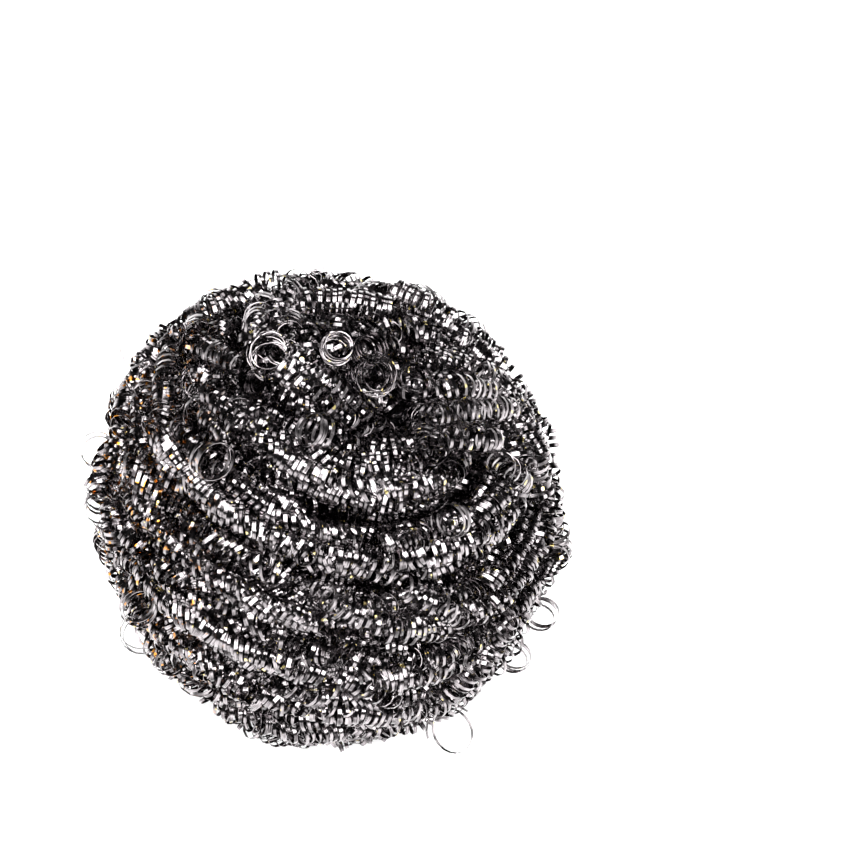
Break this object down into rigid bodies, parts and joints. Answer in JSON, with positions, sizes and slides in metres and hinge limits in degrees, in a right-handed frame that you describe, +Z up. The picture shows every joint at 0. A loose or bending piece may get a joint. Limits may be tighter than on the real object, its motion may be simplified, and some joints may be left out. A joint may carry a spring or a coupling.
{
  "type": "pot scrubber",
  "caption": "Ball of curled flat stainless steel ribbon, wound in strands round a leaning eye, with open curls and a loose tail standing out of it.",
  "frame": {"origin": "on the surface that the ball stands on, under the middle of the ball's box", "axes": "+Z up through the top eye's side of the ball, +X towards the side that the eye leans to, -Y towards the front"},
  "size_m": [0.0641, 0.054, 0.0697],
  "materials": {
    "ribbon_strand": "curled flat stainless ribbon, drawn lengthwise, bright with dark gaps",
    "packed_ribbon": "the same ribbon packed inside, in shade",
    "bright_curl": "single curls of bright stainless ribbon"
  },
  "bodies": {
    "root": {"inner_winding": "packed_ribbon", "loose_tail": "bright_curl", "outer_strand_1": "ribbon_strand", "outer_strand_2": "ribbon_strand", "outer_strand_3": "ribbon_strand", "outer_strand_4": "ribbon_strand", "side_curl_1": "bright_curl", "side_curl_10": "bright_curl", "side_curl_11": "bright_curl", "side_curl_12": "bright_curl", "side_curl_13": "bright_curl", "side_curl_2": "bright_curl", "side_curl_3": "bright_curl", "side_curl_4": "bright_curl", "side_curl_5": "bright_curl", "side_curl_6": "bright_curl", "side_curl_7": "bright_curl", "side_curl_8": "bright_curl", "side_curl_9": "bright_curl"}
  },
  "joints": []
}
